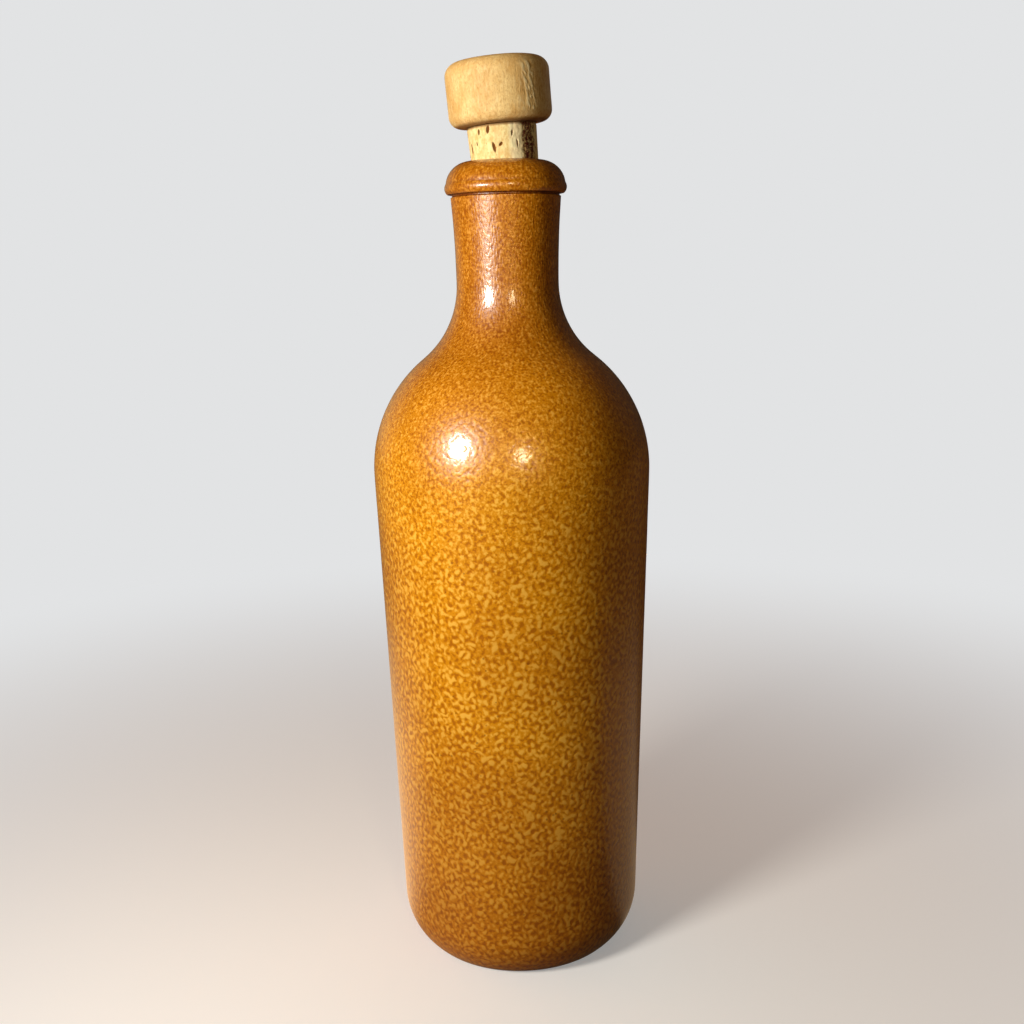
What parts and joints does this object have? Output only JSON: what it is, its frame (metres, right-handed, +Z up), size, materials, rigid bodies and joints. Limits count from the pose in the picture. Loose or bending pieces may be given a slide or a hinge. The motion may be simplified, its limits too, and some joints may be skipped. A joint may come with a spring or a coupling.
{
  "type": "stoneware bottle",
  "caption": "Glazed stoneware bottle with a waisted neck and beaded collar, closed by a cork stopper with a turned wooden head, for keeping drink or liquid food.",
  "frame": {"origin": "centre of the standing face, on the bottle's axis", "axes": "+Z up along the bottle's axis; -Y is the side seen; the stopper leans about 4 degrees, mostly towards -X"},
  "size_m": [0.0866, 0.0866, 0.2797],
  "materials": {
    "stoneware": "glossy mottled ochre and brown glaze with an orange-peel surface",
    "cork": "natural cork, pale with brown pores",
    "turned_wood": "pale close-grained wood, turned and left bare"
  },
  "bodies": {
    "root": {"bottle": "stoneware", "stopper_cork": "cork", "stopper_head": "turned_wood"}
  },
  "joints": []
}
